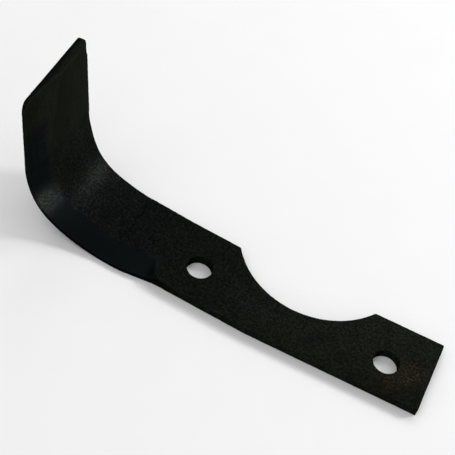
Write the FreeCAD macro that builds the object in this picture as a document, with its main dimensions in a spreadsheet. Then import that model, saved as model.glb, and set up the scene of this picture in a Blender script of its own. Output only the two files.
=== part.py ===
"""Rotary tiller blade: a flat steel bar with a bolt hole on each side of its hub notch, forged to a
bevelled cutting edge along one side and bent up into a wing.

The body's own axes: origin on the back face at the wing-side bolt hole, X along the wing half of the
bar towards the bolted end, Y across it towards the notch, Z through the thickness to the front face,
which is the inside of the bend. The body's Placement then puts both bolt holes on the part's X axis,
with the part's origin half-way between them on the back face.
"""
import FreeCAD, Part
import os
import re
import Sketcher
from FreeCAD import Placement, Rotation, Vector

# Driving dimensions, in millimetres and degrees. "Outer" is the cutting side of the bar and "inner"
# the notch side; radii of the bend are those of the front face.
SIZES = {
    "bolt_spacing": 100.0,
    "bolt_hole_diameter": 13.0,
    "bar_width": 40.0,
    "bar_thickness": 5.5,
    "bow_angle": 3.6,             # between the two halves of the bar, in its own plane
    "wing_hole_margin": 17.8,     # wing-side hole centre to the outer edge
    "end_hole_margin": 16.8,      # end-side hole centre to the outer edge
    "end_margin": 22.2,           # end-side hole centre to the square end
    "notch_radius": 43.7,
    "notch_rise": 46.1,           # notch centre from the line of the holes
    "notch_shift": 1.7,           # notch centre from mid-span, towards the wing
    "root_distance": 15.2,        # wing-side hole centre to the start of the forging
    "ramp_length": 18.0,          # along which the outer edge steps out
    "ramp_step": 2.7,
    "heel_swell": 2.6,            # the outer edge's further spread round the bend
    "wing_draw_in": 2.8,          # the outer edge's return along the flat of the wing
    "inner_spread": 4.1,          # the inner edge's rise from the root to the wing's end
    "bend_distance": 39.2,        # wing-side hole centre to the start of the bend
    "bend_angle": 81.4,
    "lead_angle": 18.4,           # of the easy bend on each side of the tight one
    "lead_radius": 65.0,
    "bend_radius": 27.0,
    "wing_length": 43.6,          # flat of the wing, along its inner edge
    "end_skew": 4.5,              # of the wing's end from square
    "end_crown": 2.1,             # by which the wing's end bulges between its two faces
    "outer_corner_radius": 7.5,
    "inner_corner_radius": 0.8,
    "bevel_width": 12.0,
    "bevel_end_width": 26.0,      # at the wing's end
    "edge_thickness": 2.3,        # steel left under the bevel at the outer edge
    "edge_end_thickness": 1.5,    # the same at the wing's end
    "bevel_runout": 5.0,          # along which the bevel sinks in at the root
}
CUT_MARGIN = 3.0                  # how far a cutter reaches past the steel it cuts
CROWN_MARGIN = 0.2                # steel left on the wing's end for its crown to be cut from
LEAD_FRACTIONS = (0.0, 0.5, 1.0)  # where each easy arc of the bend has a section
TIGHT_FRACTIONS = (0.25, 0.5, 0.75, 1.0)    # the same for the tight arc

doc = FreeCAD.newDocument("TillerBlade")
sheet = doc.addObject("Spreadsheet::Sheet", "Dims")
for row, (alias, value) in enumerate(SIZES.items(), start=1):
    sheet.set("A%d" % row, alias)
    sheet.set("B%d" % row, str(value))
    sheet.setAlias("B%d" % row, alias)
doc.recompute()

body = doc.addObject("PartDesign::Body", "TillerBlade")
body.Label = "tiller_blade"


def size(expression):
    """Puts the sheet's name before every driving dimension in an expression."""
    return re.sub("[a-z_]+", lambda word: "Dims." * (word[0] in SIZES) + word[0], expression)


def origin_plane(role):
    return next(plane for plane in body.Origin.OriginFeatures if plane.Role == role)


def new_sketch(name, plane, axis, base, angle):
    """A sketch on an origin plane, moved by base and turned by angle about one of its own axes."""
    sketch = body.newObject("Sketcher::SketchObject", name)
    sketch.AttachmentSupport = (origin_plane(plane), [""])
    sketch.MapMode = "FlatFace"
    sketch.AttachmentOffset = Placement(Vector(0, 0, 0), Rotation(axis, 1))
    for letter, distance in zip("xyz", base):
        sketch.setExpression("AttachmentOffset.Base." + letter, size(distance))
    sketch.setExpression("AttachmentOffset.Rotation.Angle", size(angle))
    return sketch


def set_size(sketch, constraint, expression):
    index = sketch.addConstraint(constraint)
    sketch.setExpression("Constraints[%d]" % index, size(expression))


def pin(sketch, edge, end, across, up):
    """Fixes one end of a sketch edge at (across, up) from the sketch's origin."""
    guess = sketch.getPoint(edge, end)
    set_size(sketch, Sketcher.Constraint("DistanceX", -1, 1, edge, end, guess.x), across)
    set_size(sketch, Sketcher.Constraint("DistanceY", -1, 1, edge, end, guess.y), up)


def add_lines(sketch, points):
    """Joined lines through the points, as a first guess for the constraints to move."""
    first = len(sketch.Geometry)
    for start, stop in zip(points, points[1:]):
        sketch.addGeometry(Part.LineSegment(Vector(*start, 0), Vector(*stop, 0)))
    return list(range(first, first + len(points) - 1))


def join(sketch, edge, following):
    sketch.addConstraint(Sketcher.Constraint("Coincident", edge, 2, following, 1))


def polygon(sketch, corners):
    """A closed polygon with every corner pinned by a pair of expressions."""
    guesses = [(0, 0), (9, 0), (9, 9), (0, 9)][:len(corners)]
    edges = add_lines(sketch, guesses + guesses[:1])
    for edge, following in zip(edges, edges[1:] + edges[:1]):
        join(sketch, edge, following)
    for edge, (across, up) in zip(edges, corners):
        pin(sketch, edge, 1, across, up)


# --- lengths that several features share, as expressions in the driving dimensions -------------
OUTER = "wing_hole_margin"
INNER = "(bar_width - wing_hole_margin)"
OUTER_RAMPED = "(wing_hole_margin + ramp_step)"
OUTER_SWOLLEN = "(wing_hole_margin + ramp_step + heel_swell)"
LEAD_LENGTH = "(lead_radius * lead_angle * pi / 180)"
TIGHT_LENGTH = "(bend_radius * (bend_angle - 2 * lead_angle) * pi / 180)"
ROOT_TO_BEND = "(bend_distance - root_distance)"
ROOT_TO_END = f"({ROOT_TO_BEND} + 2 * {LEAD_LENGTH} + {TIGHT_LENGTH} + wing_length)"
LATE_ANGLE = "(bend_angle - lead_angle)"
SHIFT = "(lead_radius - bend_radius)"


def inner_edge(distance_from_root):
    """The inner edge rises evenly from the root to the wing's end."""
    return f"({INNER} + inner_spread * {distance_from_root} / {ROOT_TO_END})"


def swollen_edge(fraction):
    """The outer edge at a fraction of the tight arc, swelling smoothly into the last easy arc."""
    share = f"({fraction} * {TIGHT_LENGTH} / ({TIGHT_LENGTH} + {LEAD_LENGTH} / 2))"
    return f"({OUTER_RAMPED} + heel_swell * {share} ^ 2 * (3 - 2 * {share}))"


class Station:
    """A place along the front face of the bar: where it is, how far it has bent, how wide it is."""

    def __init__(self, name, along, height, angle, outer, inner):
        self.name = name
        self.base = ("0", height, along)
        self.angle = angle
        self.outer = outer
        self.inner = inner

    def sketch(self, kind):
        """A sketch square to the bar, its X across the bar and its Y out of the front face."""
        return new_sketch(kind + self.name, "YZ_Plane", Vector(1, 0, 0), self.base, self.angle)


def arc_station(name, centre, radius, angle, outer, distance):
    """A station on one of the bend's three arcs, whose centre is an (along, height) pair."""
    along = f"{centre[0]} - {radius} * sin({angle})"
    height = f"{centre[1]} - {radius} * cos({angle})"
    return Station(name, along, height, angle, outer, inner_edge(distance))


first_centre = ("(0 - bend_distance)", "(bar_thickness + lead_radius)")
tight_centre = (f"({first_centre[0]} - {SHIFT} * sin(lead_angle))",
                f"({first_centre[1]} - {SHIFT} * cos(lead_angle))")
last_centre = (f"({tight_centre[0]} + {SHIFT} * sin{LATE_ANGLE})",
               f"({tight_centre[1]} + {SHIFT} * cos{LATE_ANGLE})")

bend = []
for fraction in LEAD_FRACTIONS:
    bend.append(arc_station(
        "Lead%d" % len(bend), first_centre, "lead_radius", f"({fraction} * lead_angle)",
        OUTER_RAMPED, f"({ROOT_TO_BEND} + {fraction} * {LEAD_LENGTH})"))
for fraction in TIGHT_FRACTIONS:
    bend.append(arc_station(
        "Tight%d" % len(bend), tight_centre, "bend_radius",
        f"(lead_angle + {fraction} * (bend_angle - 2 * lead_angle))", swollen_edge(fraction),
        f"({ROOT_TO_BEND} + {LEAD_LENGTH} + {fraction} * {TIGHT_LENGTH})"))
for fraction in LEAD_FRACTIONS[1:]:
    bend.append(arc_station(
        "Last%d" % len(bend), last_centre, "lead_radius", f"({LATE_ANGLE} + {fraction} * lead_angle)",
        OUTER_SWOLLEN, f"({ROOT_TO_BEND} + (1 + {fraction}) * {LEAD_LENGTH} + {TIGHT_LENGTH})"))

# --- the flat bar, from the square end to the start of the bend ---------------------------------
def bar_outline():
    """Outline of the flat bar: bowed at mid-span, notched for the hub, ramped out at the root."""
    sketch = new_sketch("BarOutline", "XY_Plane", Vector(0, 0, 1), ("0", "0", "0"), "0")
    guess = ((-15, -18), (-33, -20), (-39, -20), (-39, 23), (-15, 22), (13, 22))
    root, ramp, fold, inner, shoulder = add_lines(sketch, guess)
    notch = sketch.addGeometry(Part.ArcOfCircle(Part.Circle(Vector(47, 49, 0), Vector(0, 0, 1), 45),
                                                3.8, 5.9))
    guess = ((89, 29), (121, 30), (123, -10), (37, -18), (-15, -18))
    top, end, right, left = add_lines(sketch, guess)
    ring = (root, ramp, fold, inner, shoulder, notch, top, end, right, left)
    for edge, following in zip(ring, ring[1:] + ring[:1]):
        join(sketch, edge, following)

    pin(sketch, root, 1, "0 - root_distance", f"0 - {OUTER}")
    pin(sketch, ramp, 1, "0 - root_distance - ramp_length", f"0 - {OUTER_RAMPED}")
    pin(sketch, fold, 1, "0 - bend_distance", f"0 - {OUTER_RAMPED}")
    pin(sketch, inner, 1, "0 - bend_distance", inner_edge(ROOT_TO_BEND))
    pin(sketch, shoulder, 1, "0 - root_distance", INNER)
    for level in (shoulder, left):
        sketch.addConstraint(Sketcher.Constraint("Horizontal", level))
    centre = "(bolt_spacing / 2 - notch_shift)"
    pin(sketch, notch, 3,
        f"{centre} * cos(bow_angle / 2) - notch_rise * sin(bow_angle / 2)",
        f"{centre} * sin(bow_angle / 2) + notch_rise * cos(bow_angle / 2)")
    set_size(sketch, Sketcher.Constraint("Radius", notch, 44.0), "notch_radius")
    across = "bolt_spacing * cos(bow_angle / 2) + end_margin * cos(bow_angle)"
    up = "bolt_spacing * sin(bow_angle / 2) + end_margin * sin(bow_angle)"
    far_margin = "(bar_width - end_hole_margin)"
    pin(sketch, end, 1, f"{across} - {far_margin} * sin(bow_angle)",
        f"{up} + {far_margin} * cos(bow_angle)")
    pin(sketch, right, 1, f"{across} + end_hole_margin * sin(bow_angle)",
        f"{up} - end_hole_margin * cos(bow_angle)")
    set_size(sketch, Sketcher.Constraint("Angle", top, 0.06), "bow_angle")
    sketch.addConstraint(Sketcher.Constraint("Parallel", top, right))
    return sketch


def corner_arc(sketch, centre, radius, start, stop, before, after):
    """Rounds the corner between two lines; the arc runs backwards, from after to before."""
    circle = Part.Circle(Vector(*centre, 0), Vector(0, 0, 1), 4.0)
    arc = sketch.addGeometry(Part.ArcOfCircle(circle, start, stop))
    sketch.addConstraint(Sketcher.Constraint("Tangent", before, 2, arc, 2))
    sketch.addConstraint(Sketcher.Constraint("Tangent", arc, 1, after, 1))
    set_size(sketch, Sketcher.Constraint("Radius", arc, 4.0), radius)


def wing_outline(fold):
    """Outline of the wing's flat, drawn on its back face with X pointing back to the bend."""
    along = f"{fold.base[2]} - bar_thickness * sin(bend_angle)"
    height = f"{fold.base[1]} - bar_thickness * cos(bend_angle)"
    sketch = new_sketch("WingOutline", "XY_Plane", Vector(0, 1, 0), (along, "0", height), fold.angle)
    outer, = add_lines(sketch, ((0, -23), (-37, -21)))
    end, = add_lines(sketch, ((-41, -17), (-42, 22)))
    inner, heel = add_lines(sketch, ((-38, 26), (0, 25), (0, -23)))
    join(sketch, inner, heel)
    join(sketch, heel, outer)
    pin(sketch, outer, 1, "0", f"0 - {fold.outer}")
    pin(sketch, heel, 1, "0", fold.inner)
    set_size(sketch, Sketcher.Constraint("Angle", outer, 3.1), "180deg - atan(wing_draw_in / wing_length)")
    set_size(sketch, Sketcher.Constraint("Angle", end, 1.6), "90 + end_skew")
    set_size(sketch, Sketcher.Constraint("Angle", inner, 0.0), f"0deg - atan(inner_spread / {ROOT_TO_END})")
    corner = sketch.addGeometry(Part.Point(Vector(-42, 26, 0)), True)
    sketch.addConstraint(Sketcher.Constraint("PointOnObject", corner, 1, inner))
    sketch.addConstraint(Sketcher.Constraint("PointOnObject", corner, 1, end))
    set_size(sketch, Sketcher.Constraint("DistanceX", -1, 1, corner, 1, -42.0),
             f"0 - wing_length - {CROWN_MARGIN}")
    corner_arc(sketch, (-37, -17), "outer_corner_radius", 3.1, 4.7, outer, end)
    corner_arc(sketch, (-38, 22), "inner_corner_radius", 1.6, 3.1, end, inner)
    return sketch


def section(station):
    """The full bar at a station, before its bevel."""
    sketch = station.sketch("Section")
    back = "0 - bar_thickness"
    outer = f"0 - {station.outer}"
    polygon(sketch, ((outer, back), (station.inner, back), (station.inner, "0"), (outer, "0")))
    return sketch


def bevel_section(station, width, edge, lift="0"):
    """The steel that the forging presses away at a station, drawn larger than the bar.

    The sloping side meets the front face at width from the outer edge and leaves edge thick steel
    there. A lift raises it clear of the bar.
    """
    sketch = station.sketch("Bevel")
    slope = f"((bar_thickness - {edge}) / {width})"
    outside = f"0 - {station.outer} - {CUT_MARGIN}"
    inside = f"0 - {station.outer} + {width} + {CUT_MARGIN} / 2"
    low = f"0 - bar_thickness + {edge} - {CUT_MARGIN} * {slope} + {lift}"
    high = f"{CUT_MARGIN} / 2 * {slope} + {lift}"
    polygon(sketch, ((outside, low), (inside, high), (outside, high)))
    return sketch


def crown_section(name, fold, level):
    """The steel outside the wing's crowned end at a level across the bar.

    The sketch looks along the wing's end: X runs along the front face from the bend and Y into the
    steel. Its arc meets both faces a crown's height short of the end and runs on a little past them.
    """
    sketch = new_sketch(name, "XZ_Plane", Vector(0, 0, 1),
                        (fold.base[2], fold.base[1], f"0 - {level}"), "180 - bend_angle")
    front, = add_lines(sketch, ((41, -3), (41, 0)))
    crown = sketch.addGeometry(Part.ArcOfCircle(Part.Circle(Vector(40.8, 2.75, 0), Vector(0, 0, 1), 2.8),
                                                -1.35, 1.35))
    back, cap, far, foot = add_lines(sketch, ((41, 5.5), (41, 8.5), (46, 8.5), (46, -3), (41, -3)))
    ring = (front, crown, back, cap, far, foot)
    for edge, following in zip(ring, ring[1:] + ring[:1]):
        join(sketch, edge, following)
    end = f"(wing_length - ({INNER} + inner_spread - {level}) * tan(end_skew))"
    beyond = f"{end} + {CUT_MARGIN}"
    radius = "((end_crown ^ 2 + bar_thickness ^ 2 / 4) / (2 * end_crown))"
    reach = f"(({radius} + bar_thickness / 2) / 2)"
    start = f"{end} - {radius} + sqrt({radius} ^ 2 - {reach} ^ 2)"
    pin(sketch, front, 1, start, f"0 - {CUT_MARGIN}")
    pin(sketch, front, 2, start, f"bar_thickness / 2 - {reach}")
    pin(sketch, back, 1, start, f"bar_thickness / 2 + {reach}")
    pin(sketch, back, 2, start, f"bar_thickness + {CUT_MARGIN}")
    pin(sketch, cap, 2, beyond, f"bar_thickness + {CUT_MARGIN}")
    pin(sketch, far, 2, beyond, f"0 - {CUT_MARGIN}")
    set_size(sketch, Sketcher.Constraint("Radius", crown, 2.8), radius)
    return sketch


def loft(kind, name, sections, ruled=False):
    feature = body.newObject("PartDesign::" + kind, name)
    feature.Profile = sections[0]
    feature.Sections = [(sketch, [""]) for sketch in sections[1:]]
    feature.Ruled = ruled
    doc.recompute()


def pad(name, sketch):
    feature = body.newObject("PartDesign::Pad", name)
    feature.Profile = sketch
    feature.setExpression("Length", size("bar_thickness"))
    doc.recompute()


# --- the bar, its bend and the flat of the wing --------------------------------------------------
pad("Bar", bar_outline())
loft("AdditiveLoft", "Bend", [section(station) for station in bend])
pad("Wing", wing_outline(bend[-1]))
volumes = [body.Shape.Volume]

# --- the crowned end of the wing -----------------------------------------------------------------
fold = bend[-1]
past_outer = f"(0 - {OUTER_SWOLLEN} - {CUT_MARGIN})"
past_inner = f"({INNER} + inner_spread + {CUT_MARGIN})"
crown_cuts = [crown_section("CrownOuter", fold, past_outer), crown_section("CrownInner", fold, past_inner)]
loft("SubtractiveLoft", "EndCrown", crown_cuts, ruled=True)
volumes.append(body.Shape.Volume)

# --- the forged bevel ----------------------------------------------------------------------------
root = Station("Root", "0 - root_distance", "bar_thickness", "0", OUTER, INNER)
sunk = Station("Sunk", "0 - root_distance - bevel_runout", "bar_thickness", "0", OUTER_RAMPED, INNER)
wing_end = Station("WingEnd", f"{fold.base[2]} - wing_length * cos(bend_angle)",
                   f"{fold.base[1]} + wing_length * sin(bend_angle)", fold.angle,
                   f"({OUTER_SWOLLEN} - wing_draw_in)", INNER)
bend_cuts = [bevel_section(station, "bevel_width", "edge_thickness") for station in bend]
clear = bevel_section(root, "bevel_width", "edge_thickness", "(bar_thickness - edge_thickness)")
first_cut = bevel_section(sunk, "bevel_width", "edge_thickness")
last_cut = bevel_section(wing_end, "bevel_end_width", "edge_end_thickness")
loft("SubtractiveLoft", "BarBevel", [clear, first_cut, bend_cuts[0]], ruled=True)
volumes.append(body.Shape.Volume)
loft("SubtractiveLoft", "BendBevel", bend_cuts)
volumes.append(body.Shape.Volume)
loft("SubtractiveLoft", "WingBevel", [bend_cuts[-1], last_cut], ruled=True)
volumes.append(body.Shape.Volume)

# --- the bolt holes ------------------------------------------------------------------------------
holes = new_sketch("BoltHoles", "XY_Plane", Vector(0, 0, 1), ("0", "0", "0"), "0")
for along, up in (("0", "0"), ("bolt_spacing * cos(bow_angle / 2)", "bolt_spacing * sin(bow_angle / 2)")):
    circle = holes.addGeometry(Part.Circle(Vector(0, 0, 0), Vector(0, 0, 1), 6))
    pin(holes, circle, 3, along, up)
    set_size(holes, Sketcher.Constraint("Diameter", circle, 12.0), "bolt_hole_diameter")
drilled = body.newObject("PartDesign::Pocket", "BoltHolesCut")
drilled.Profile = holes
drilled.Type = "ThroughAll"
drilled.Midplane = True
doc.recompute()
volumes.append(body.Shape.Volume)

# --- the part's own frame --------------------------------------------------------------------------
body.Placement = Placement(Vector(0, 0, 0), Rotation(Vector(0, 0, 1), 1))
body.setExpression("Placement.Base.x", size("0 - bolt_spacing / 2"))
body.setExpression("Placement.Rotation.Angle", size("0 - bow_angle / 2"))
doc.recompute()

for item in doc.Objects:
    if {"Invalid", "Error"} & set(item.State):
        raise RuntimeError(item.Name + " failed to recompute")
if body.Shape.isNull() or not body.Shape.isValid() or len(body.Shape.Solids) != 1:
    raise RuntimeError("the blade is not one valid solid")
if sorted(set(volumes), reverse=True) != volumes:
    raise RuntimeError("a cut removed nothing from the blade")

os.makedirs("parts", exist_ok=True)
body.Shape.exportStep("parts/tiller_blade.step")
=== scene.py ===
import math

import bpy
import numpy as np
from mathutils import Matrix, Vector, noise
from mathutils.bvhtree import BVHTree
from mathutils.kdtree import KDTree

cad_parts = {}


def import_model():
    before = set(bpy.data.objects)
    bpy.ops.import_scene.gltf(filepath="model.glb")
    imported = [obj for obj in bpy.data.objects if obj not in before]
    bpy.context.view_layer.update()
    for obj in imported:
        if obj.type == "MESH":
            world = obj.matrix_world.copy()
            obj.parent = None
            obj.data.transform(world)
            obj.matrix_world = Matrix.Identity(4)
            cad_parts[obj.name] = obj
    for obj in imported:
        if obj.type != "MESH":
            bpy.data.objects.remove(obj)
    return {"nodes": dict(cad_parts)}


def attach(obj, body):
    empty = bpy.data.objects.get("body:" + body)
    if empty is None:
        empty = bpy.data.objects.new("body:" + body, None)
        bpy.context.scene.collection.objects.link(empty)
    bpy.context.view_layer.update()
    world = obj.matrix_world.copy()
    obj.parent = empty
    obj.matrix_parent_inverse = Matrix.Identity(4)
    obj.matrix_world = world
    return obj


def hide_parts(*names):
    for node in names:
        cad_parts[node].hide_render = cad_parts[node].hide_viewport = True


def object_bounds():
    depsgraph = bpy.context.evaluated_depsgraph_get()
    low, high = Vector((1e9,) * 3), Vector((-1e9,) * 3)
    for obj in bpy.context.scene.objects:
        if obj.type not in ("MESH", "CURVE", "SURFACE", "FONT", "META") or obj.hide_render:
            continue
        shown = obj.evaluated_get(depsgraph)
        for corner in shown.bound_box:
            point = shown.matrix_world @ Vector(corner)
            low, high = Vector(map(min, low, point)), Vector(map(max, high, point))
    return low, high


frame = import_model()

cad_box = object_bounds()
NODE = "tiller_blade"
MM = 0.001

# The blade's driving sizes, in millimetres and degrees, as in the solid.
BOLT_SPACING = 100.0
THICKNESS = 5.5
BOW = math.radians(3.6)
OUTER_MARGIN = 17.8
ROOT = 15.2
RAMP_LENGTH = 18.0
RAMP_STEP = 2.7
HEEL_SWELL = 2.6
WING_DRAW_IN = 2.8
BEND_DISTANCE = 39.2
BEND_ANGLE = math.radians(81.4)
LEAD_ANGLE = math.radians(18.4)
LEAD_RADIUS = 65.0
BEND_RADIUS = 27.0
WING_LENGTH = 43.6
BEVEL_WIDTH = 12.0
BEVEL_END_WIDTH = 26.0
BEVEL_RUNOUT = 5.0
EDGE_THICKNESS = 2.3
EDGE_END_THICKNESS = 1.5

VOXEL = 0.5 * MM
SHARP = math.radians(25.0)    # the least turn between two facets that makes a sharp edge
EDGE_PULL = 0.8 * VOXEL       # points nearer than this to a sharp edge are moved onto it
EDGE_SPACING = 0.2 * VOXEL
CORNER_SOFTENING = 0.3
CREASE_ROUNDS = 10
CREASE_SOFTENING = 0.5

# Where the scale is pitted: (along, across) of the middle, reach both ways, strength.
PITS = (((10.0, 11.0), (7.0, 4.0), 1.0), ((-32.0, -4.0), (14.0, 5.0), 1.0), ((-50.0, -6.0), (12.0, 7.0), 1.0),
        ((-87.0, 1.5), (8.0, 4.0), 1.0), ((-110.0, 2.0), (9.0, 8.0), 1.0), ((68.0, -4.0), (7.0, 9.0), 0.35))
# The heel: worn, pitted scale, and a highlight painted into the base colour; (along, across) of the middle,
# reach both ways.
HEEL_WEAR_AND_HIGHLIGHT = ((80.5, -18.0), (5.5, 7.0))
# The fold's inner edge: pits, and a highlight painted into the base colour; (along, across) of the middle,
# reach both ways.
FOLD_WEAR_AND_HIGHLIGHT = ((69.0, 16.0), (4.5, 14.0))
RUST_SPOTS = (((-105.0, -6.0), (5.0, 4.0)), ((-111.0, 0.0), (5.0, 4.0)), ((-115.0, 6.0), (6.0, 4.0)))

# Depths of the surface's relief, in millimetres.
WAVE_HEIGHT = 0.035
GRAIN_HEIGHT = 0.034
COARSE_HEIGHT = 0.024
PIT_DEPTH = 0.16
BUMP_HEIGHT = 0.45

# The base colour by distance along the bar: blue-black on the bevel and the bend, greyer and
# more olive towards both ends.
TONE_AT = (-120.0, -90.0, -60.0, -15.0, 30.0, 55.0, 85.0, 100.0, 115.0, 140.0)
TONE = (0.0054, 0.0059, 0.0061, 0.0048, 0.0042, 0.0040, 0.0074, 0.0120, 0.0118, 0.0112)
OLIVE_AT = (-70.0, 0.0, 45.0, 75.0, 105.0, 140.0)
OLIVE = (1.0, 0.75, 0.45, 0.6, 0.9, 1.0)
BLUE_CAST = np.array([0.80, 1.05, 1.15])
OLIVE_CAST = np.array([1.02, 1.13, 0.85])
RUST_COLOUR = (0.042, 0.022, 0.010, 1.0)

# name, direction from the origin, distance, width, height, power
LAMPS = (("key", (0.62, 0.56, 0.55), 1.6, 0.3, 0.3, 9.0),
         ("low", (0.985, 0.13, 0.12), 1.5, 0.25, 0.14, 3.0),
         ("back", (-0.1, 1.0, 1.1), 2.0, 1.8, 0.9, 12.0),
         ("fill", (-0.4, -0.8, 1.6), 2.4, 1.6, 1.6, 12.0))
WORLD_STRENGTH = 0.45
FLOOR_REACH = 6.0
FLOOR_GAP = 0.2 * MM
FLOOR_DARK = (0.90, 0.90, 0.90, 1.0)
FLOOR_LIGHT = (0.93, 0.93, 0.93, 1.0)
LENS = 102.77
CAMERA_PLACE = (0.0421529, -0.3589875, 0.5136686)
CAMERA_RIGHT = (0.8853448, 0.4323014, 0.1711143)
CAMERA_AHEAD = (-0.1413855, 0.6009428, -0.7866879)


# ---------------------------------------------------------------- developed coordinates
def smooth(low, high, value):
    share = np.clip((value - low) / (high - low), 0.0, 1.0)
    return share * share * (3.0 - 2.0 * share)


def towards_front(angle):
    """Unit vector out of the front face, as (along, up), where the bar has turned by angle."""
    return np.array([-math.sin(angle), math.cos(angle)])


def develop(points):
    """Row-frame points in metres to millimetres on the unbent bar.

    The three columns are the distance from the wing-side hole towards the wing's end, the distance
    across the bar towards the notch, and the depth below the front face.
    """
    turn = np.array([[math.cos(BOW / 2), -math.sin(BOW / 2)], [math.sin(BOW / 2), math.cos(BOW / 2)]])
    flat = (points[:, :2] / MM + np.array([BOLT_SPACING / 2, 0.0])) @ turn.T
    along = -flat[:, 0]
    up = points[:, 2] / MM
    late = BEND_ANGLE - LEAD_ANGLE
    first = np.array([BEND_DISTANCE, THICKNESS + LEAD_RADIUS])
    tight = first - (LEAD_RADIUS - BEND_RADIUS) * towards_front(LEAD_ANGLE)
    last = tight + (LEAD_RADIUS - BEND_RADIUS) * towards_front(late)
    lead = LEAD_RADIUS * LEAD_ANGLE
    middle = BEND_RADIUS * (late - LEAD_ANGLE)
    out = np.stack([along, flat[:, 1], THICKNESS - up], 1)

    angle_first = np.arctan2(along - first[0], first[1] - up)
    angle_tight = np.arctan2(along - tight[0], tight[1] - up)
    angle_last = np.arctan2(along - last[0], last[1] - up)
    on_first = along > BEND_DISTANCE
    on_tight = on_first & (angle_tight > LEAD_ANGLE)
    on_last = on_tight & (angle_last > late)
    on_wing = on_last & (angle_last > BEND_ANGLE)
    for mask, centre, radius, angle, start in (
            (on_first, first, LEAD_RADIUS, angle_first, BEND_DISTANCE),
            (on_tight, tight, BEND_RADIUS, angle_tight - LEAD_ANGLE, BEND_DISTANCE + lead),
            (on_last, last, LEAD_RADIUS, angle_last - late, BEND_DISTANCE + lead + middle)):
        out[mask, 0] = start + radius * angle[mask]
        reach = np.hypot(along - centre[0], up - centre[1])
        out[mask, 2] = reach[mask] - radius
    fold = last - LEAD_RADIUS * towards_front(BEND_ANGLE)
    away = np.stack([along - fold[0], up - fold[1]], 1)
    run = np.array([math.cos(BEND_ANGLE), math.sin(BEND_ANGLE)])
    out[on_wing, 0] = (BEND_DISTANCE + 2 * lead + middle + away @ run)[on_wing]
    out[on_wing, 2] = -(away @ towards_front(BEND_ANGLE))[on_wing]
    return out


BEND_LENGTH = 2 * LEAD_RADIUS * LEAD_ANGLE + BEND_RADIUS * (BEND_ANGLE - 2 * LEAD_ANGLE)
WING_START = BEND_DISTANCE + BEND_LENGTH
WING_END = WING_START + WING_LENGTH


def outer_edge(along):
    """Distance of the cutting edge from the wing-side hole's level, at each place along the bar."""
    ramp = RAMP_STEP * np.clip((along - ROOT) / RAMP_LENGTH, 0, 1)
    swell_from = BEND_DISTANCE + LEAD_RADIUS * LEAD_ANGLE
    swell = HEEL_SWELL * smooth(swell_from, WING_START - LEAD_RADIUS * LEAD_ANGLE / 2, along)
    draw_in = WING_DRAW_IN * np.clip((along - WING_START) / WING_LENGTH, 0, 1)
    return OUTER_MARGIN + ramp + swell - draw_in


def bevel_depth(along, across):
    """How far the bevel lies below the front face."""
    widening = np.clip((along - WING_START) / WING_LENGTH, 0, 1)
    width = BEVEL_WIDTH + (BEVEL_END_WIDTH - BEVEL_WIDTH) * widening
    edge = EDGE_THICKNESS + (EDGE_END_THICKNESS - EDGE_THICKNESS) * widening
    inward = across + outer_edge(along)
    depth = (THICKNESS - edge) * (1.0 - inward / width)
    sunk = np.clip((along - ROOT) / BEVEL_RUNOUT, 0, 1)
    return np.maximum(depth - (1.0 - sunk) * (THICKNESS - EDGE_THICKNESS), 0.0)


# ---------------------------------------------------------------- the blade's mesh
def remeshed(source):
    """A dense, evenly meshed copy of the solid."""
    blade = bpy.data.objects.new("blade", source.data.copy())
    bpy.context.collection.objects.link(blade)
    remesh = blade.modifiers.new("Even", "REMESH")
    remesh.mode = "VOXEL"
    remesh.voxel_size = VOXEL
    settled = bpy.data.meshes.new_from_object(blade.evaluated_get(bpy.context.evaluated_depsgraph_get()))
    blade.modifiers.clear()
    blade.data = settled
    return blade


def vertex_array(mesh, what="co", size=3):
    values = np.empty(len(mesh.vertices) * size)
    mesh.vertices.foreach_get(what, values)
    return values.reshape(-1, size)


def soften(points, edges, rounds, weight):
    """Moves each point towards the mean of its neighbours."""
    count = np.bincount(edges.ravel(), minlength=len(points))[:, None]
    for _ in range(rounds):
        total = np.zeros_like(points)
        np.add.at(total, edges[:, 0], points[edges[:, 1]])
        np.add.at(total, edges[:, 1], points[edges[:, 0]])
        points = points + weight * (total / count - points)
    return points


def seat_on(points, source):
    """The nearest point of the solid's surface to each point."""
    mesh = source.data
    corners = vertex_array(mesh)
    tree = BVHTree.FromPolygons([Vector(v) for v in corners], [tuple(p.vertices) for p in mesh.polygons])
    return np.array([tree.find_nearest(Vector(p))[0] for p in points])


def sharp_points(source):
    """Points close together along every sharp edge of the solid."""
    mesh = source.data
    corners, joined = np.unique(vertex_array(mesh).round(7), axis=0, return_inverse=True)
    joined = joined.ravel()
    beside = {}
    for face in mesh.polygons:
        for a, b in face.edge_keys:
            key = tuple(sorted((joined[a], joined[b])))
            beside.setdefault(key, []).append(face.normal)
    found = []
    for (a, b), sides in beside.items():
        if len(sides) == 2 and sides[0].angle(sides[1], 0.0) > SHARP:
            count = max(2, int(np.linalg.norm(corners[b] - corners[a]) / EDGE_SPACING))
            found.append(corners[a] + np.linspace(0.0, 1.0, count)[:, None] * (corners[b] - corners[a]))
    return np.concatenate(found)


def draw_to_edges(points, source):
    """Moves each point that lies next to a sharp edge onto it."""
    sharp = sharp_points(source)
    tree = KDTree(len(sharp))
    for index, place in enumerate(sharp):
        tree.insert(place, index)
    tree.balance()
    moved = points.copy()
    for index, place in enumerate(points):
        nearest, _, distance = tree.find(place)
        if distance < EDGE_PULL:
            moved[index] = nearest
    return moved


def field(points, scale, octaves=1, seed=0.0):
    """Smooth noise from -1 to 1 whose features are about scale millimetres across."""
    offset = Vector((seed, seed * 1.7, -seed))
    if octaves == 1:
        return np.array([noise.noise(Vector(p) / scale + offset) for p in points])
    return np.array([noise.fractal(Vector(p) / scale + offset, 1.0, 2.0, octaves) for p in points])


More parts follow.
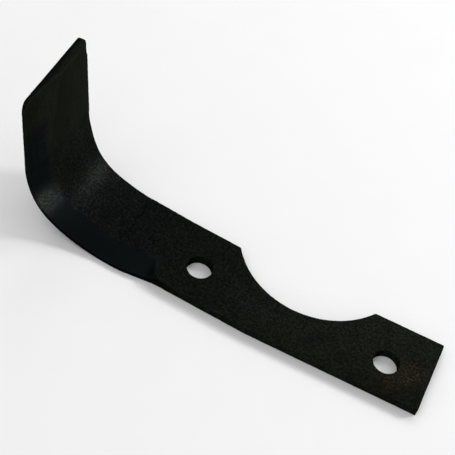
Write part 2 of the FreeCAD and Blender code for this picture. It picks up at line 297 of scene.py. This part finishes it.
source = frame["nodes"][NODE]
blade = remeshed(source)
mesh = blade.data
edges = np.empty(len(mesh.edges) * 2, dtype=int)
mesh.edges.foreach_get("vertices", edges)
edges = edges.reshape(-1, 2)
points = draw_to_edges(seat_on(vertex_array(mesh), source), source)
points = soften(points, edges, 1, CORNER_SOFTENING)
along, across, depth = develop(points).T
on_front = smooth(0.8, 0.2, depth - bevel_depth(along, across))
beside_bar = (along > ROOT) * (along < WING_START)
# The bevel's inner line, its start beside the hole, and the line where the wing's end is thinned.
crease = np.exp(-((across + outer_edge(along) - BEVEL_WIDTH) / 2.0) ** 2) * beside_bar
crease = np.maximum(crease, np.exp(-((along - ROOT - 3.0) / 4.0) ** 2) * (across < 4.0))
crease = np.maximum(crease, smooth(WING_END - 7.0, WING_END - 4.0, along + 0.08 * across))
points = soften(points, edges, CREASE_ROUNDS, (CREASE_SOFTENING * crease * on_front)[:, None])
mesh.vertices.foreach_set("co", points.ravel())
mesh.update()
normals = vertex_array(mesh, "normal")

developed = develop(points)
along, across, depth = developed.T
cut = bevel_depth(along, across)
inward = across + outer_edge(along)


def patch(at, reach):
    """A soft oval on the face, 1 at its middle; at and reach are (along, across) pairs."""
    return np.exp(-((along - at[0]) / reach[0]) ** 2 - ((across - at[1]) / reach[1]) ** 2)


# Rough forging scale: low waves everywhere, and pits where the scale has flaked.
waves = field(developed, 9.0, 2, 3.1)
grain = field(developed, 1.4, 2, 7.7)
coarse = field(developed, 3.2, 2, 11.3)
front = depth < cut + 0.8
wing_way = np.array([-math.cos(BEND_ANGLE), 0.0, math.sin(BEND_ANGLE)])
end_face = smooth(0.15, 0.6, normals @ wing_way) * (along > WING_END - 8.0)
# The heel's mask: pits, and a painted highlight in the base colour.
heel_wear_and_highlight = patch(*HEEL_WEAR_AND_HIGHLIGHT)
# The fold's mask: pits, and a painted highlight in the base colour.
fold = patch(*FOLD_WEAR_AND_HIGHLIGHT)
strip = (1.0 - smooth(9.5, 13.5, inward + 1.5 * coarse)) * smooth(ROOT, ROOT + 4.0, along + 2.0 * coarse)
strip = strip * (1.0 - smooth(WING_START + 12.0, WING_START + 26.0, along + 3.0 * waves)) * front
strip = strip * (1.0 - np.minimum(1.4 * heel_wear_and_highlight, 1.0))
on_wing = smooth(WING_START - 12.0, WING_START + 6.0, along)
pitted = heel_wear_and_highlight + 0.7 * fold + 0.3 * end_face
for at, reach, strength in PITS:
    pitted = pitted + strength * patch(at, reach)
pitted = np.minimum(pitted, 1.0)
rough = (1.0 - 0.8 * strip) * (1.0 - 0.65 * on_wing) + 0.6 * end_face
holes = smooth(0.25, 0.55, field(developed, 1.9, 1, 23.9)) * pitted
lift = WAVE_HEIGHT * waves + rough * (GRAIN_HEIGHT * grain + COARSE_HEIGHT * coarse)
lift = lift - PIT_DEPTH * holes
points = points + normals * (lift * MM)[:, None]
mesh.vertices.foreach_set("co", points.ravel())
mesh.polygons.foreach_set("use_smooth", np.ones(len(mesh.polygons), dtype=bool))
mesh.update()

tone = np.interp(along, TONE_AT, TONE) * (1.0 + 0.012 * across * (1.0 - np.exp(-(along / 70.0) ** 2)))
tone = tone * (1.0 + 0.10 * waves) * (1.0 + strip * np.interp(along, (65.0, 95.0), (0.2, -0.2)))
# Painted highlights: the heel is brightened up to fivefold and the fold's inner edge up to 1.8 times, on top
# of the lamps' own highlights there.
# Painted shade: the wing's end face is darkened by about two thirds.
tone = tone * (1.0 - 0.65 * end_face) * (1.0 + 4.0 * heel_wear_and_highlight + 0.8 * fold)
# Painted highlight: the side face along the cutting edge, on the shank, is lightened up to 2.5 times.
tone = tone * (1.0 + 1.5 * smooth(0.3, 0.9, -normals[:, 1]) * smooth(ROOT, 0.0, along))
olive = np.interp(along, OLIVE_AT, OLIVE) * (1.0 - 0.9 * strip) + 0.15 * waves
olive = np.clip(olive, 0.0, 1.0)[:, None]
tint = tone[:, None] * (BLUE_CAST * (1.0 - olive) + OLIVE_CAST * olive)
rust = sum(patch(at, reach) for at, reach in RUST_SPOTS)


def store(name, values, kind="FLOAT"):
    layer = mesh.attributes.new(name, kind, "POINT")
    key = "vector" if kind == "FLOAT_VECTOR" else "value"
    layer.data.foreach_set(key, np.asarray(values, dtype=np.float32).ravel())


store("developed", developed, "FLOAT_VECTOR")
store("tint", tint, "FLOAT_VECTOR")
store("strip", strip)
store("rough", rough)
store("pitted", pitted)
store("wing", on_wing)
store("rust", np.minimum(rust, 1.0))


# ---------------------------------------------------------------- the finish
class Graph:
    """Short calls for building a material's nodes."""

    def __init__(self, name):
        self.material = bpy.data.materials.new(name)
        self.material.use_nodes = True
        self.tree = self.material.node_tree
        self.shader = self.tree.nodes["Principled BSDF"]

    def put(self, socket, value):
        if isinstance(value, bpy.types.NodeSocket):
            self.tree.links.new(value, socket)
        else:
            socket.default_value = value

    def node(self, kind, settings=(), **inputs):
        node = self.tree.nodes.new(kind)
        for key, value in dict(settings).items():
            setattr(node, key, value)
        for key, value in inputs.items():
            self.put(node.inputs[key.replace("_", " ")], value)
        return node

    def attribute(self, name):
        return self.node("ShaderNodeAttribute", {"attribute_name": name}).outputs

    def math(self, operation, a, b):
        node = self.tree.nodes.new("ShaderNodeMath")
        node.operation = operation
        for socket, value in zip(node.inputs, (a, b)):
            self.put(socket, value)
        return node.outputs[0]

    def noise(self, vector, scale, detail, roughness=0.5):
        return self.node("ShaderNodeTexNoise", Vector=vector, Scale=scale, Detail=detail,
                         Roughness=roughness).outputs["Fac"]

    def ramp(self, value, low, high, start=0.0, stop=1.0):
        node = self.node("ShaderNodeMapRange", {"interpolation_type": "SMOOTHSTEP"}, Value=value)
        for key, number in (("From Min", low), ("From Max", high), ("To Min", start), ("To Max", stop)):
            self.put(node.inputs[key], number)
        return node.outputs[0]

    def mix(self, factor, a, b):
        node = self.node("ShaderNodeMix", {"data_type": "RGBA"})
        self.put(node.inputs[0], factor)
        self.put(node.inputs[6], a)
        self.put(node.inputs[7], b)
        return node.outputs[2]


def scaled_steel():
    g = Graph("scaled_steel")
    place = g.attribute("developed")["Vector"]
    tint = g.attribute("tint")["Vector"]
    strip = g.attribute("strip")["Fac"]
    rough = g.attribute("rough")["Fac"]
    pitted = g.attribute("pitted")["Fac"]
    wing = g.attribute("wing")["Fac"]
    rust = g.attribute("rust")["Fac"]

    fleck = g.noise(place, 0.75, 3.0, 0.65)
    speck = g.noise(place, 1.5, 2.0, 0.6)
    cloud = g.noise(place, 0.12, 3.0, 0.6)
    drawn = g.node("ShaderNodeVectorMath", {"operation": "MULTIPLY"})
    g.put(drawn.inputs[0], place)
    g.put(drawn.inputs[1], (0.05, 0.55, 0.3))
    streak = g.noise(drawn.outputs[0], 1.0, 3.0, 0.6)

    # brightness of the flecks against the scale round them
    level = g.ramp(fleck, 0.36, 0.72, 0.62, 1.75)
    level = g.math("MULTIPLY", level, g.ramp(cloud, 0.3, 0.7, 0.88, 1.12))
    calm = g.math("MAXIMUM", strip, g.math("MULTIPLY", wing, 0.75))
    level = g.math("ADD", g.math("MULTIPLY", level, g.math("SUBTRACT", 1.0, calm)), calm)
    # Painted glints: bright specks in the base colour where the scale is pitted, on the heel and the fold
    # too.
    bright = g.math("MULTIPLY", pitted, g.ramp(speck, 0.56, 0.72, 0.0, 3.0))
    level = g.math("ADD", level, bright)
    level = g.math("MULTIPLY", level, g.ramp(g.math("MULTIPLY", wing, streak), 0.25, 0.65, 1.0, 1.18))
    scale = g.node("ShaderNodeVectorMath", {"operation": "SCALE"})
    g.put(scale.inputs[0], tint)
    g.put(scale.inputs["Scale"], level)
    rusty = g.math("MULTIPLY", rust, g.ramp(g.noise(place, 0.8, 3.0, 0.7), 0.50, 0.62))
    colour = g.mix(g.math("MULTIPLY", rusty, 0.7), scale.outputs[0], RUST_COLOUR)
    g.put(g.shader.inputs["Base Color"], colour)
    g.put(g.shader.inputs["Metallic"], 0.5)
    g.put(g.shader.inputs["Specular IOR Level"], 0.0)
    g.put(g.shader.inputs["Specular Tint"], (0.12, 0.12, 0.12, 1.0))
    g.put(g.shader.inputs["Roughness"], g.ramp(fleck, 0.35, 0.7, 0.42, 0.26))

    height = g.math("ADD", g.math("MULTIPLY", fleck, 0.7), g.math("MULTIPLY", speck, 0.3))
    bump = g.node("ShaderNodeBump", Height=height, Distance=BUMP_HEIGHT * MM)
    g.put(bump.inputs["Strength"], g.math("MULTIPLY", rough, 0.9))
    g.put(g.shader.inputs["Normal"], bump.outputs["Normal"])
    return g.material


blade.data.materials.clear()
blade.data.materials.append(scaled_steel())
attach(blade, "root")
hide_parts(NODE)

# ---------------------------------------------------------------- floor, light and camera
def floor():
    mesh = bpy.data.meshes.new("floor")
    low = cad_box[0][2] - FLOOR_GAP
    signs = ((-1, -1), (1, -1), (1, 1), (-1, 1))
    mesh.from_pydata([(x * FLOOR_REACH, y * FLOOR_REACH, low) for x, y in signs], [], [(0, 1, 2, 3)])
    g = Graph("pale_floor")
    place = g.node("ShaderNodeTexCoord").outputs["Object"]
    grain = g.noise(place, 40.0, 3.0)
    g.put(g.shader.inputs["Base Color"], g.mix(grain, FLOOR_DARK, FLOOR_LIGHT))
    g.put(g.shader.inputs["Roughness"], 0.9)
    g.put(g.shader.inputs["Specular IOR Level"], 0.0)
    mesh.materials.append(g.material)
    thing = bpy.data.objects.new("floor", mesh)
    bpy.context.collection.objects.link(thing)


def softbox(name, direction, distance, width, height, power):
    light = bpy.data.lights.new(name, "AREA")
    light.shape = "RECTANGLE"
    light.size = width
    light.size_y = height
    light.energy = power
    thing = bpy.data.objects.new(name, light)
    bpy.context.collection.objects.link(thing)
    way = Vector(direction).normalized()
    thing.location = way * distance
    thing.rotation_euler = way.to_track_quat("Z", "Y").to_euler()


def world(strength):
    surroundings = bpy.data.worlds.new("studio")
    bpy.context.scene.world = surroundings
    surroundings.use_nodes = True
    nodes = surroundings.node_tree.nodes
    links = surroundings.node_tree.links
    background = nodes["Background"]
    background.inputs["Color"].default_value = (1.0, 1.0, 1.0, 1.0)
    path = nodes.new("ShaderNodeLightPath")
    seen = path.outputs["Is Camera Ray"]
    for kind in ("Is Glossy Ray", "Is Transmission Ray"):
        either = nodes.new("ShaderNodeMath")
        either.operation = "MAXIMUM"
        links.new(seen, either.inputs[0])
        links.new(path.outputs[kind], either.inputs[1])
        seen = either.outputs[0]
    level = nodes.new("ShaderNodeMapRange")
    level.inputs["To Min"].default_value = strength
    level.inputs["To Max"].default_value = 1.0
    links.new(seen, level.inputs["Value"])
    links.new(level.outputs[0], background.inputs["Strength"])


def camera():
    lens = bpy.data.cameras.new("camera")
    lens.sensor_width = 36.0
    lens.lens = LENS
    lens.clip_start = 0.01
    lens.clip_end = 50.0
    thing = bpy.data.objects.new("camera", lens)
    bpy.context.collection.objects.link(thing)
    right = Vector(CAMERA_RIGHT)
    ahead = Vector(CAMERA_AHEAD)
    up = right.cross(ahead)
    turn = Matrix((right, up, -ahead)).transposed()
    thing.matrix_world = Matrix.Translation(CAMERA_PLACE) @ turn.to_4x4()
    bpy.context.scene.camera = thing


floor()
for lamp in LAMPS:
    softbox(*lamp)
world(WORLD_STRENGTH)
camera()
bpy.context.scene.view_settings.view_transform = "Standard"
